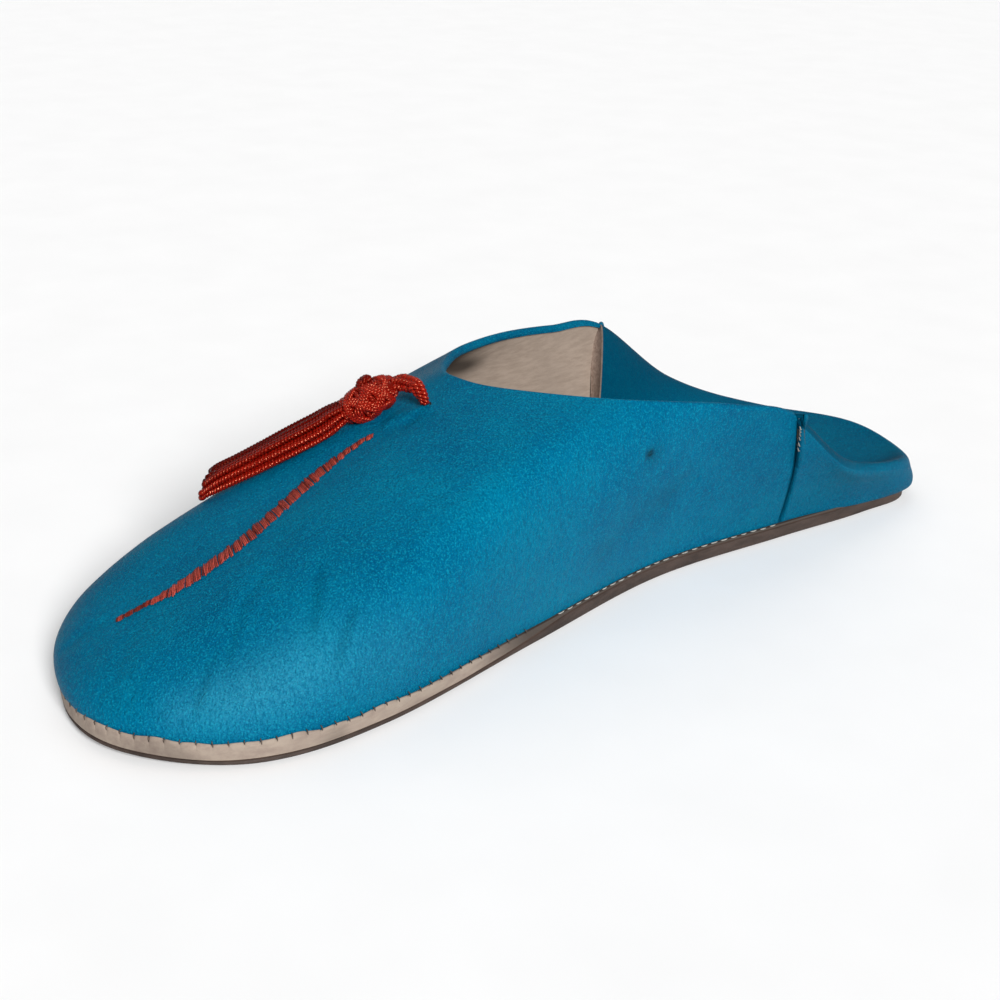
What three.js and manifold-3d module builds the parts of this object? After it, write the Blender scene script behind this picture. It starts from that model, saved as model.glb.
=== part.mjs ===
// A babouche slipper of soft leather for the right foot, its heel counter trodden down flat.
// Millimetres, +Z up. The toe points along -Y, the heel along +Y, and the inner side of the foot
// is +X. The slipper stands on its sole, with the origin at the bottom centre of its box.
import * as THREE from 'three';
import { mergeVertices } from 'three/addons/utils/BufferGeometryUtils.js';
import Module from 'manifold-3d';

const wasm = await Module();
wasm.setup();

// The last: sizes that the whole slipper follows
const length = 268;
const ballWidth = 87;
const collarWidth = 82;
const instepHeight = 59;
const bulge = 3;

// Sole stack: outsole, rand and insole, with a toe that lifts a little off the floor
const outsoleShareFore = 0.34;
const outsoleShareRear = 0.83;
const soleThickness = 4.6;
const toeSpring = 1.5;
const toeRise = 0.9;
const toeSpringLength = 30;
const outsoleBevel = 0.8;
const soleProud = 0.4;
const insoleThickness = 1.2;
const gap = 0.3;

// Places along the sole, as shares of its length, where the rand starts and stops thinning
const randThinsFrom = 0.36;
const randThinsTo = 0.47;

// The upper's leather
const wall = 1.8;
const turnedEdgeThickness = 2.4;
const turnedEdgeWidth = 3;
const seamWidth = 1.6;
const seamDepth = 0.5;
const dipWidth = 8;
const foldHollow = 0.6;
const flapRoom = 4;
const flapLoft = 2.5;

// The tassel
const cordSize = 3;
const loopRise = 7;
const knotWidth = 9;
const knotHeight = 7;
const skirtWidth = 10;
const skirtHeight = 6.2;
const skirtStrands = 9;
const strandRelief = 0.13;
const looseEndRadius = 1;
const looseEndLength = 6;

// Heights that follow from the sizes above
const foldRadius = wall + foldHollow;
const insoleInset = wall + 1.5 * gap;
const insoleTop = soleThickness + gap + insoleThickness;
const flapHeight = insoleTop + gap + wall;
const instepRoom = instepHeight - flapHeight;

// The share of the fold's radius that lies outside the collar line, and how many times larger
// its radius is at the puffed heel end
const foldBulge = 0.36;
const heelPuff = 1.45;

// Fineness of the facets
const ribsPerRow = 4;
const wallSteps = [0, 0.07, 0.16, 0.26, 0.37, 0.48, 0.6, 0.72, 0.84, 0.93, 1];
const shoulderAngle = 0;
const foldAngles = [30, 60, 90];
const flapSteps = [0.06, 0.14, 0.25, 0.38, 0.52, 0.68, 0.84, 1];
const edgeStep = 0.3;

// Ribs of the upper, once round from the toe over the inner side to the heel and back over the
// outer side. A rib climbs from the sole to the collar. Along is a share of length from the toe,
// footAcross a share of ballWidth, collarAcross of collarWidth, collarRise of the room between
// heel flap and instep, swell and flare of bulge, rise and drop of the rib's own height, and
// sweep a share of the way from collar to foot.
const ribColumns = [
  'footAlong', 'footAcross', 'collarAlong', 'collarAcross', 'collarRise',
  'swell', 'rise', 'sweep', 'flare', 'drop',
];
const ribRows = [
  [0.001, 0.038, 0.412, -0.019, 1.000, 2.30, 0.20, 0.40, -0.07, 0.340], // toe tip
  [0.018, 0.284, 0.421, 0.093, 1.000, 0.98, 0.25, 0.45, -0.04, 0.280], // toe corner
  [0.100, 0.491, 0.452, 0.234, 0.998, 0.99, 0.33, 0.50, -0.02, 0.215], // toe side
  [0.219, 0.519, 0.504, 0.358, 0.970, 1.00, 0.45, 0.55, 0.67, 0.160], // ball
  [0.406, 0.407, 0.571, 0.428, 0.912, 1.36, 0.44, 0.50, 1.04, 0.240], // fore waist
  [0.587, 0.304, 0.643, 0.466, 0.820, 1.40, 0.34, 0.40, 0.77, 0.315], // waist
  [0.757, 0.321, 0.721, 0.476, 0.686, 1.12, 0.30, 0.39, 0.84, 0.350], // seam
  [0.883, 0.343, 0.821, 0.457, 0.266, 0.80, 0.42, 0.39, 0.90, 0.380], // heel side
  [0.961, 0.310, 0.952, 0.369, 0.074, 1.80, 0.18, 0.40, 0.36, 0.300], // heel corner
  [0.993, 0.000, 1.001, 0.000, 0.072, 1.50, 0.12, 0.40, 0.10, 0.300], // heel back
  [0.951, -0.284, 0.945, -0.340, 0.112, 1.60, 0.18, 0.40, 0.25, 0.300], // outer heel corner
  [0.862, -0.387, 0.818, -0.483, 0.362, 0.85, 0.42, 0.40, 0.66, 0.360], // outer heel side
  [0.742, -0.381, 0.719, -0.523, 0.758, 1.00, 0.30, 0.40, 0.67, 0.350], // outer seam
  [0.609, -0.404, 0.641, -0.493, 0.838, 1.33, 0.35, 0.40, 0.66, 0.315], // outer waist
  [0.459, -0.455, 0.568, -0.451, 0.888, 1.33, 0.44, 0.48, 0.97, 0.285], // outer fore waist
  [0.298, -0.483, 0.499, -0.376, 0.907, 0.99, 0.46, 0.51, 0.61, 0.240], // outer ball
  [0.129, -0.384, 0.450, -0.246, 0.936, 1.00, 0.29, 0.45, -0.05, 0.295], // outer toe side
  [0.040, -0.232, 0.420, -0.116, 0.979, 3.50, 0.27, 0.45, -0.05, 0.320], // outer toe corner
];
const [seamRib, outerSeamRib] = [6, 12];

// Half the width of a seam's groove, and of the dip at its top, as shares of a rib interval
const ribSpacing = length * (ribRows[seamRib + 1][0] - ribRows[seamRib][0]);
const seamHalf = seamWidth / 2 / ribSpacing;
const dipHalf = dipWidth / 2 / ribSpacing;

// The folded flap, for each rib from seam to seam. Its end on the insole is a share of ballWidth
// and of length. Room is the share of flapRoom between wall and flap, lean how far the flap's
// bend follows its end forwards, and loft the share of flapLoft that it stands up at its bend.
const flapColumns = ['endAcross', 'endAlong', 'room', 'lean', 'loft'];
const flapRows = [
  [0.255, 0.672, 0.0, 0.85, 0.0], // seam
  [0.160, 0.735, 0.6, 0.35, 0.3], // heel side
  [0.085, 0.765, 1.0, 0.10, 0.8], // heel corner
  [0.000, 0.772, 1.0, 0.00, 1.0], // heel back
  [-0.100, 0.762, 1.0, 0.10, 0.9], // outer heel corner
  [-0.215, 0.730, 0.6, 0.35, 0.4], // outer heel side
  [-0.330, 0.672, 0.0, 0.85, 0.0], // outer seam
];

// The tassel's route over the vamp: place on the rib loop, share of the way up the rib, height of
// its middle above the leather, its size across and upright, and how far its strands have turned
const knotLift = knotHeight / 2 + 2 * gap;
const skirtLift = skirtHeight / 2 + 2 * gap;
const tasselColumns = ['rib', 'climb', 'lift', 'width', 'height', 'turn'];
const tasselRows = [
  [18.30, 0.915, 2 * gap, cordSize, cordSize, 0],
  [18.30, 0.918, 0.46 * loopRise, cordSize, cordSize, 20],
  [18.14, 0.924, 0.86 * loopRise, 1.13 * cordSize, 1.07 * cordSize, 60],
  [17.78, 0.916, loopRise, 1.33 * cordSize, 1.13 * cordSize, 110],
  [17.46, 0.900, 0.86 * loopRise, 1.53 * cordSize, 1.27 * cordSize, 150],
  [17.26, 0.874, 1.2 * knotLift, 0.73 * knotWidth, 0.74 * knotHeight, 180],
  [17.16, 0.850, 1.05 * knotLift, knotWidth, knotHeight, 210],
  [17.10, 0.824, knotLift, knotWidth, knotHeight, 240],
  [17.06, 0.798, knotLift, 0.89 * knotWidth, 0.91 * knotHeight, 260],
  [17.04, 0.769, skirtLift, 0.9 * skirtWidth, skirtHeight, 270],
  [17.02, 0.724, skirtLift, skirtWidth, skirtHeight, 276],
  [16.99, 0.677, skirtLift, skirtWidth, skirtHeight, 282],
  [16.93, 0.629, skirtLift, skirtWidth, skirtHeight, 288],
  [16.80, 0.584, skirtLift, skirtWidth, 0.94 * skirtHeight, 294],
  [16.68, 0.552, skirtLift, 0.9 * skirtWidth, 0.84 * skirtHeight, 300],
];

const toRadians = THREE.MathUtils.degToRad;
const up = new THREE.Vector3(0, 0, 1);

// A table's rows blended smoothly at place s, as named values; the table is a loop or has ends
function blend(columns, rows, s, isLoop) {
  const start = Math.floor(s);
  const f = s - start;
  const pick = (k) => {
    const index = start + k;
    if (isLoop) return rows[((index % rows.length) + rows.length) % rows.length];
    return rows[Math.min(Math.max(index, 0), rows.length - 1)];
  };
  const [a, b, c, d] = [pick(-1), pick(0), pick(1), pick(2)];
  const values = columns.map((name, i) => {
    const slope = c[i] - a[i];
    const bend = 2 * a[i] - 5 * b[i] + 4 * c[i] - d[i];
    const twist = 3 * b[i] - a[i] - 3 * c[i] + d[i];
    return [name, 0.5 * (2 * b[i] + slope * f + bend * f * f + twist * f ** 3)];
  });
  return Object.fromEntries(values);
}

// How much of the toe's lift is left at a place along the sole
function toeShare(y) {
  const along = y + length / 2;
  return Math.max(0, 1 - along / toeSpringLength) ** 2;
}

const soleBottom = (y) => toeSpring * toeShare(y);
const soleTop = (y) => soleThickness + toeRise * toeShare(y);

// The joint between outsole and rand, low along the forepart and high behind it
function randJoint(y) {
  const along = (y + length / 2) / length;
  const thinned = THREE.MathUtils.smoothstep(along, randThinsFrom, randThinsTo);
  const share = THREE.MathUtils.lerp(outsoleShareFore, outsoleShareRear, thinned);
  return THREE.MathUtils.lerp(soleBottom(y), soleTop(y), share);
}

// The line where the upper meets the sole
function footPoint(s) {
  const row = blend(ribColumns, ribRows, s, true);
  const y = (row.footAlong - 0.5) * length;
  return new THREE.Vector3(row.footAcross * ballWidth, y, soleTop(y) + gap);
}

// The level direction out of the foot line
function outward(s) {
  const step = 0.02;
  const run = footPoint(s + step).sub(footPoint(s - step));
  return new THREE.Vector3(run.y, -run.x, 0).normalize();
}

const isFolded = (s) => s >= seamRib && s <= outerSeamRib;

// A point on the fold: its crest is at 90 degrees and its outermost point at 0
function foldPoint(s, angle) {
  const radius = foldRadiusAt(s);
  const turn = toRadians(angle);
  return collarPoint(s)
    .addScaledVector(outward(s), radius * (foldBulge - 1 + Math.cos(turn)))
    .addScaledVector(up, radius * (Math.sin(turn) - 1));
}

// How far a rib's top is lowered to the fold's shoulder: the vamp's edge dips towards each seam
function foldShare(s) {
  if (isFolded(s)) return 1;
  const away = Math.min(Math.abs(s - seamRib), Math.abs(s - outerSeamRib));
  return 0.3 * (1 - THREE.MathUtils.smoothstep(away, seamHalf, dipHalf));
}

// The collar line, before the fold is formed on it
function collarPoint(s) {
  const row = blend(ribColumns, ribRows, s, true);
  const y = (row.collarAlong - 0.5) * length;
  return new THREE.Vector3(
    row.collarAcross * collarWidth, y, flapHeight + row.collarRise * instepRoom);
}

// How much of the heel end's puff there is at place s, from 0 to 1
function heelShare(s) {
  const fromHeel = Math.abs(s - (seamRib + outerSeamRib) / 2);
  return 1 - THREE.MathUtils.smoothstep(fromHeel, 0.6, 2);
}

// The fold's radius in a level section, larger where the crest runs steeply and at the heel end
function foldRadiusAt(s) {
  const step = 0.02;
  const run = collarPoint(s + step).sub(collarPoint(s - step));
  const steepness = run.length() / Math.hypot(run.x, run.y);
  return foldRadius * steepness * THREE.MathUtils.lerp(1, heelPuff, heelShare(s));
}

// The curve of one rib's outer face from the sole to the collar, or to the fold's shoulder
function ribCurve(s) {
  const row = blend(ribColumns, ribRows, s, true);
  const foot = footPoint(s);
  const out = outward(s);
  const collar = collarPoint(s).lerp(foldPoint(s, shoulderAngle), foldShare(s));
  const height = collar.z - foot.z;
  const low = foot.clone()
    .addScaledVector(out, row.swell * bulge)
    .addScaledVector(up, row.rise * height);
  const high = foot.clone().sub(collar).setZ(0).multiplyScalar(row.sweep).add(collar)
    .addScaledVector(out, row.flare * bulge)
    .addScaledVector(up, -row.drop * height);
  return new THREE.CubicBezierCurve3(foot, low, high, collar);
}

// The trodden-down flap of one rib, from the fold's crest down to the insole
function flapCurve(s, crest) {
  const row = blend(flapColumns, flapRows, s - seamRib, false);
  const out = outward(s);
  const fall = crest.z - flapHeight;
  const reach = Math.sqrt((2 / 3) * fall * foldRadiusAt(s));
  const end = new THREE.Vector3(
    row.endAcross * ballWidth, (row.endAlong - 0.5) * length, flapHeight);
  const bend = crest.clone().addScaledVector(out, -reach);
  bend.y = THREE.MathUtils.lerp(crest.y, end.y, 0.5 * row.lean);
  const corner = footPoint(s)
    .addScaledVector(out, -(2 * wall + 2 * gap + row.room * flapRoom))
    .lerp(end, row.lean);
  corner.z = flapHeight + row.loft * flapLoft;
  return new THREE.CubicBezierCurve3(crest, bend, corner, end);
}

// Places of the ribs on the loop: even steps, and three close together at each side seam
function ribPlaces() {
  const places = [];
  for (let i = 0; i < ribRows.length * ribsPerRow; i += 1) {
    const s = i / ribsPerRow;
    const atSeam = s === seamRib || s === outerSeamRib;
    if (atSeam) places.push(s - dipHalf, s - seamHalf);
    places.push(s);
    if (atSeam) places.push(s + seamHalf, s + dipHalf);
  }
  return places;
}

// Shares up a rib: even steps, then the step of the turned edge and the rim itself
function climbShares(curve, s) {
  const lastReach = 3 * curve.v2.distanceTo(curve.v3);
  const band = isFolded(s) ? 0.08 : turnedEdgeWidth / lastReach;
  const step = isFolded(s) ? 0.04 : edgeStep / lastReach;
  const shares = wallSteps.map((share) => share * (1 - band - step));
  return [...shares, 1 - band, 1];
}

// Turns a list of points and triangles into a geometry
function meshFrom(points, triangles) {
  const geometry = new THREE.BufferGeometry();
  geometry.setAttribute('position',
    new THREE.Float32BufferAttribute(points.flatMap((p) => [p.x, p.y, p.z]), 3));
  geometry.setIndex(triangles.flat());
  return geometry;
}

// Edges that only one triangle uses, each in that triangle's direction
function openEdges(triangles) {
  const key = (a, b) => `${a},${b}`;
  const seen = new Set();
  triangles.forEach(([a, b, c]) => [[a, b], [b, c], [c, a]].forEach((e) => seen.add(key(...e))));
  return [...seen].map((text) => text.split(',').map(Number)).filter(([a, b]) => !seen.has(key(b, a)));
}

// A sheet given by its outer face becomes a solid wall; inner(i, normal) is the inner point
function thicken(points, triangles, inner) {
  const sheet = meshFrom(points, triangles);
  sheet.computeVertexNormals();
  const normals = sheet.getAttribute('normal');
  const count = points.length;
  const back = points.map((p, i) => inner(i, new THREE.Vector3().fromBufferAttribute(normals, i)));
  const faces = [...triangles];
  triangles.forEach(([a, b, c]) => faces.push([a + count, c + count, b + count]));
  openEdges(triangles).forEach(([a, b]) => {
    faces.push([b, a, a + count], [b, a + count, b + count]);
  });
  return meshFrom([...points, ...back], faces);
}

// The upper: one sheet of ribs with the flap folded in at the heel, thickened inwards
function upperGeometry() {
  const points = [];
  const depth = [];
  const footIndex = new Map();
  const triangles = [];
  const places = ribPlaces();
  const columns = places.map((s) => {
    const curve = ribCurve(s);
    const shares = climbShares(curve, s);
    const isSeam = s === seamRib || s === outerSeamRib;
    const column = [];
    shares.forEach((share, i) => {
      const isEdge = i >= shares.length - 2 && !isFolded(s);
      column.push(points.length);
      if (i === 0) footIndex.set(points.length, s);
      points.push(curve.getPoint(share));
      depth.push({ thick: isEdge ? turnedEdgeThickness : wall, groove: isSeam ? seamDepth : 0 });
    });
    if (!isFolded(s)) return column;
    foldAngles.forEach((angle) => {
      column.push(points.length);
      points.push(foldPoint(s, angle));
      depth.push({ thick: wall, groove: 0 });
    });
    const flap = flapCurve(s, points.at(-1));
    flapSteps.forEach((share) => {
      column.push(points.length);
      points.push(flap.getPoint(share));
      depth.push({ thick: wall, groove: 0 });
    });
    return column;
  });
  columns.forEach((column, i) => {
    const next = columns[(i + 1) % columns.length];
    const rows = Math.min(column.length, next.length);
    for (let row = 0; row < rows - 1; row += 1) {
      triangles.push([column[row], next[row], next[row + 1]]);
      triangles.push([column[row], next[row + 1], column[row + 1]]);
    }
  });
  const solid = thicken(points, triangles, (i, normal) => {
    const point = points[i].clone();
    if (!footIndex.has(i)) return point.addScaledVector(normal, -depth[i].thick);
    point.addScaledVector(outward(footIndex.get(i)), -wall);
    return point.setZ(soleTop(point.y) + gap);
  });
  sinkSeams(solid, points, depth);
  return solid;
}

// Presses the seam grooves into the outer face, towards the wall's inner face
function sinkSeams(solid, points, depth) {
  const position = solid.getAttribute('position');
  points.forEach((point, i) => {
    if (depth[i].groove === 0) return;
    const inner = new THREE.Vector3().fromBufferAttribute(position, i + points.length);
    const sunk = point.clone().lerp(inner, depth[i].groove / depth[i].thick);
    position.setXYZ(i, sunk.x, sunk.y, point.z);
  });
}

// A flat piece with the plan of the foot line, from rings of an inset and a height function
function slab(rings) {
  const count = ribRows.length * ribsPerRow;
  const half = count / 2;
  const points = [];
  rings.forEach(({ inset, height }) => {
    for (let i = 0; i < count; i += 1) {
      const s = i / ribsPerRow;
      const point = footPoint(s).addScaledVector(outward(s), -inset);
      points.push(point.setZ(height(point.y)));
    }
  });
  const triangles = [];
  for (let ring = 0; ring < rings.length - 1; ring += 1) {
    for (let i = 0; i < count; i += 1) {
      const [a, b] = [ring * count + i, ring * count + ((i + 1) % count)];
      triangles.push([a, b, b + count], [a, b + count, a + count]);
    }
  }
  const top = (rings.length - 1) * count;
  const addCap = (a, b, c) => {
    triangles.push([top + a, top + b, top + c], [a, c, b]);
  };
  addCap(0, 1, count - 1);
  for (let i = 1; i < half - 1; i += 1) {
    addCap(i, i + 1, count - i);
    addCap(i + 1, count - i - 1, count - i);
  }
  addCap(half - 1, half, half + 1);
  return meshFrom(points, triangles);
}

const outsoleGeometry = () => slab([
  { inset: outsoleBevel - soleProud, height: soleBottom },
  { inset: -soleProud, height: (y) => soleBottom(y) + outsoleBevel },
  { inset: -soleProud, height: (y) => randJoint(y) - gap / 2 },
]);

const randGeometry = () => slab([
  { inset: -soleProud, height: (y) => randJoint(y) + gap / 2 },
  { inset: -soleProud, height: soleTop },
]);

const insoleGeometry = () => slab([
  { inset: insoleInset, height: (y) => soleTop(y) + gap },
  { inset: insoleInset, height: (y) => soleTop(y) + gap + insoleThickness },
]);

// A place on the upper's outer face and the direction straight off it
function onUpper(s, climb) {
  const point = ribCurve(s).getPoint(climb);
  const step = 0.02;
  const along = ribCurve(s + step).getPoint(climb).sub(ribCurve(s - step).getPoint(climb));
  const rising = ribCurve(s).getTangent(climb);
  return { point, normal: along.cross(rising).normalize() };
}

// The tassel's middle line and the level direction across it
const tasselStops = tasselRows.map((row) => {
  const stop = Object.fromEntries(row.map((value, i) => [tasselColumns[i], value]));
  const { point, normal } = onUpper(stop.rib, stop.climb);
  return { ...stop, middle: point.addScaledVector(normal, stop.lift), normal };
});
const tasselLine = new THREE.CatmullRomCurve3(tasselStops.map((stop) => stop.middle));
const tasselAcross = tasselStops.at(-1).middle.clone().sub(tasselStops[0].middle)
  .cross(tasselStops[Math.floor(tasselStops.length / 2)].normal).normalize();

// The tassel's frame at a share t of its stops: middle, across and raised directions
function tasselFrame(t) {
  const forward = tasselLine.getTangent(t);
  const raised = tasselAcross.clone().cross(forward).normalize();
  const across = raised.clone().cross(forward).normalize();
  return { middle: tasselLine.getPoint(t), forward, across, raised };
}

// Tubes and bundles: rings of points with a fan on each end
function ringSolid(rings) {
  const sides = rings[0].length;
  const points = rings.flat();
  const triangles = [];
  for (let ring = 0; ring < rings.length - 1; ring += 1) {
    for (let i = 0; i < sides; i += 1) {
      const [a, b] = [ring * sides + i, ring * sides + ((i + 1) % sides)];
      triangles.push([a, b, b + sides], [a, b + sides, a + sides]);
    }
  }
  const addFan = (start, isEnd) => {
    const centre = new THREE.Vector3();
    for (let i = 0; i < sides; i += 1) centre.addScaledVector(points[start + i], 1 / sides);
    points.push(centre);
    for (let i = 0; i < sides; i += 1) {
      const [a, b] = [start + i, start + ((i + 1) % sides)];
      triangles.push(isEnd ? [a, b, points.length - 1] : [b, a, points.length - 1]);
    }
  };
  addFan(0, false);
  addFan((rings.length - 1) * sides, true);
  return meshFrom(points, triangles);
}

// The bundle of loop, knot and skirt, its strands raised as lobes that turn along it
function tasselBody() {
  const pointsPerStrand = 4;
  const sides = skirtStrands * pointsPerStrand;
  const rings = [];
  const perStop = 2;
  const steps = (tasselStops.length - 1) * perStop;
  for (let step = 0; step <= steps; step += 1) {
    const t = step / steps;
    const size = blend(tasselColumns, tasselRows, t * (tasselStops.length - 1), false);
    const { middle, across, raised } = tasselFrame(t);
    const ring = [];
    for (let i = 0; i < sides; i += 1) {
      const angle = (i / sides) * 2 * Math.PI + toRadians(size.turn);
      const lobe = 1 - strandRelief * (0.5 - 0.5 * Math.cos((2 * Math.PI * i) / pointsPerStrand));
      ring.push(middle.clone()
        .addScaledVector(across, 0.5 * size.width * lobe * Math.cos(angle))
        .addScaledVector(raised, 0.5 * size.height * lobe * Math.sin(angle)));
    }
    rings.push(ring);
  }
  return ringSolid(rings);
}

// Loose cord ends that stick out of the skirt: side step and rise in the bundle, and length
const looseEnds = [
  [-0.34, 0.10, 1.0],
  [-0.12, -0.12, 1.5],
  [0.12, 0.14, 0.7],
  [0.34, -0.08, 1.3],
];
function looseEnd([side, rise, reach]) {
  const sides = 6;
  const steps = 3;
  const inside = 0.95;
  const from = tasselFrame(inside);
  const to = tasselFrame(1);
  const start = from.middle.clone()
    .addScaledVector(from.across, side * skirtWidth)
    .addScaledVector(from.raised, rise * skirtHeight);
  const tip = to.middle.clone()
    .addScaledVector(to.across, side * 1.3 * skirtWidth)
    .addScaledVector(to.raised, rise * skirtHeight)
    .addScaledVector(to.forward, reach * looseEndLength);
  const rings = [];
  for (let step = 0; step <= steps; step += 1) {
    const middle = start.clone().lerp(tip, step / steps);
    const ring = [];
    for (let i = 0; i < sides; i += 1) {
      const angle = (i / sides) * 2 * Math.PI;
      ring.push(middle.clone()
        .addScaledVector(to.across, looseEndRadius * Math.cos(angle))
        .addScaledVector(to.raised, looseEndRadius * Math.sin(angle)));
    }
    rings.push(ring);
  }
  return ringSolid(rings);
}

// Closed geometries joined into one
function fuse(geometries) {
  const solids = geometries.map((geometry) => {
    const merged = mergeVertices(geometry, 1e-4);
    return new wasm.Manifold(new wasm.Mesh({
      numProp: 3,
      vertProperties: new Float32Array(merged.getAttribute('position').array),
      triVerts: new Uint32Array(merged.getIndex().array),
    }));
  });
  const { vertProperties, triVerts } = solids.reduce((all, one) => all.add(one)).getMesh();
  const geometry = new THREE.BufferGeometry();
  geometry.setAttribute('position', new THREE.BufferAttribute(vertProperties, 3));
  geometry.setIndex(new THREE.BufferAttribute(triVerts, 1));
  return geometry;
}

const tasselGeometry = () => fuse([tasselBody(), ...looseEnds.map(looseEnd)]);

// Each piece as a named mesh with its own material
function piece(name, geometry, color, roughness) {
  const material = new THREE.MeshStandardMaterial({ color, roughness, metalness: 0 });
  const mesh = new THREE.Mesh(geometry, material);
  mesh.name = name;
  return mesh;
}

const group = new THREE.Group();
group.add(
  piece('outsole', outsoleGeometry(), 0x3a2418, 0.75),
  piece('midsole', randGeometry(), 0xc9a98c, 0.7),
  piece('upper', upperGeometry(), 0x0d6d8c, 0.5),
  piece('insole', insoleGeometry(), 0xc4a593, 0.8),
  piece('tassel', tasselGeometry(), 0xb01c12, 0.8),
);

// The origin goes to the bottom centre of the whole slipper's box
const box = new THREE.Box3().setFromObject(group);
const middle = box.getCenter(new THREE.Vector3());
group.position.set(-middle.x, -middle.y, -box.min.z);
group.updateMatrixWorld(true);

export default group;
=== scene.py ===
import math
import random

import bpy
import numpy as np
from mathutils import Matrix, Vector, noise


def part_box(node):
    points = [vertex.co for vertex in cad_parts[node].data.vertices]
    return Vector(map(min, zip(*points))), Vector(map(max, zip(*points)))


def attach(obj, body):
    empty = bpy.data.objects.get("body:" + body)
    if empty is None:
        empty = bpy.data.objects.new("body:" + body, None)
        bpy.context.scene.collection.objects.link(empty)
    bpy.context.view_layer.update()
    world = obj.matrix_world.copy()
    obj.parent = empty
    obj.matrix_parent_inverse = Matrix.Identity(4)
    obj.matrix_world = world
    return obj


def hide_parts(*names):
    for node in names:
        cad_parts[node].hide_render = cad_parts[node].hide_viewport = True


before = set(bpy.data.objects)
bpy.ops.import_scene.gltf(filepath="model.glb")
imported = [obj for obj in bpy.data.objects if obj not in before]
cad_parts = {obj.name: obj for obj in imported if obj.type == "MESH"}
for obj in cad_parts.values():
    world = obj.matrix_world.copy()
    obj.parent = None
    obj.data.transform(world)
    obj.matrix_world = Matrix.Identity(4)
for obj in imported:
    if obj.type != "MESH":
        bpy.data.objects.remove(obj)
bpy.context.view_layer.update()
MM = 0.001
rng = random.Random(11)

# Sizes of the slipper, as in the frame
LENGTH = 268.0
BALL_WIDTH = 87.0
COLLAR_WIDTH = 82.0
INSTEP_HEIGHT = 59.0
BULGE = 3.0
SHARE_FORE = 0.34
SHARE_REAR = 0.83
SOLE_THICKNESS = 4.6
TOE_SPRING = 1.5
TOE_RISE = 0.9
TOE_SPRING_LENGTH = 30.0
SOLE_PROUD = 0.4
INSOLE_THICKNESS = 1.2
GAP = 0.3
THINS_FROM = 0.36
THINS_TO = 0.47
WALL = 1.8
TURNED_THICKNESS = 2.4
TURNED_EDGE = 1.9
SEAM_WIDTH = 1.6
DIP_WIDTH = 5.0
FOLD_RADIUS = WALL + 0.6
FLAP_ROOM = 4.0
FLAP_LOFT = 2.5
FOLD_BULGE = 0.36
HEEL_PUFF = 1.45
HEEL_ROLL = 0.15
HEEL_TWIST = 2.6
HEEL_FLATTENING = 0.9
FOLD_FILLING = 1.0
SMOOTHING_ROUNDS = 36
SAG = 1.7
FLAP_HEIGHT = SOLE_THICKNESS + 2 * GAP + INSOLE_THICKNESS + WALL
INSTEP_ROOM = INSTEP_HEIGHT - FLAP_HEIGHT

# Ribs once round from the toe over the inner side: foot along and across, collar along, across
# and rise, then the curve's swell, rise, sweep, flare and drop
RIBS = np.array([
    [0.001, 0.038, 0.412, -0.019, 1.000, 2.30, 0.20, 0.40, -0.07, 0.340],
    [0.018, 0.284, 0.421, 0.093, 1.000, 0.98, 0.25, 0.45, -0.04, 0.280],
    [0.100, 0.491, 0.452, 0.234, 0.998, 0.99, 0.33, 0.50, -0.02, 0.215],
    [0.219, 0.519, 0.504, 0.358, 0.970, 1.00, 0.45, 0.55, 0.67, 0.160],
    [0.406, 0.407, 0.571, 0.428, 0.912, 1.36, 0.44, 0.50, 1.04, 0.240],
    [0.587, 0.304, 0.643, 0.466, 0.820, 1.40, 0.34, 0.40, 0.77, 0.315],
    [0.757, 0.321, 0.721, 0.476, 0.686, 1.12, 0.30, 0.39, 0.84, 0.350],
    [0.883, 0.343, 0.821, 0.457, 0.266, 0.80, 0.42, 0.39, 0.90, 0.380],
    [0.961, 0.310, 0.952, 0.369, 0.074, 1.80, 0.18, 0.40, 0.36, 0.300],
    [0.993, 0.000, 1.001, 0.000, 0.072, 1.50, 0.12, 0.40, 0.10, 0.300],
    [0.951, -0.284, 0.945, -0.340, 0.112, 1.60, 0.18, 0.40, 0.25, 0.300],
    [0.862, -0.387, 0.818, -0.483, 0.362, 0.85, 0.42, 0.40, 0.66, 0.360],
    [0.742, -0.381, 0.719, -0.523, 0.758, 1.00, 0.30, 0.40, 0.67, 0.350],
    [0.609, -0.404, 0.641, -0.493, 0.838, 1.33, 0.35, 0.40, 0.66, 0.315],
    [0.459, -0.455, 0.568, -0.451, 0.888, 1.33, 0.44, 0.48, 0.97, 0.285],
    [0.298, -0.483, 0.499, -0.376, 0.907, 0.99, 0.46, 0.51, 0.61, 0.240],
    [0.129, -0.384, 0.450, -0.246, 0.936, 1.00, 0.29, 0.45, -0.05, 0.295],
    [0.040, -0.232, 0.420, -0.116, 0.979, 3.50, 0.27, 0.45, -0.05, 0.320],
])
SEAMS = SEAM, OUTER_SEAM = 6, 12
HEEL_END = (SEAM + OUTER_SEAM) / 2
RIB_SPACING = LENGTH * (RIBS[SEAM + 1][0] - RIBS[SEAM][0])

# The folded flap from seam to seam: end across and along, room, lean and loft
FLAP = np.array([
    [0.255, 0.672, 0.0, 0.85, 0.0],
    [0.160, 0.735, 0.6, 0.35, 0.3],
    [0.085, 0.765, 1.0, 0.10, 0.8],
    [0.000, 0.772, 1.0, 0.00, 1.0],
    [-0.100, 0.762, 1.0, 0.10, 0.9],
    [-0.215, 0.730, 0.6, 0.35, 0.4],
    [-0.330, 0.672, 0.0, 0.85, 0.0],
])


# Lengths and directions of vectors
def norm(v):
    return np.linalg.norm(v, axis=-1)


def unit(v):
    return v / np.maximum(norm(v), 1e-12)[..., None]


# A smooth rise from 0 at low to 1 at high
def ease(x, low, high):
    t = np.clip((x - low) / (high - low), 0, 1)
    return t * t * (3 - 2 * t)


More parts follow.
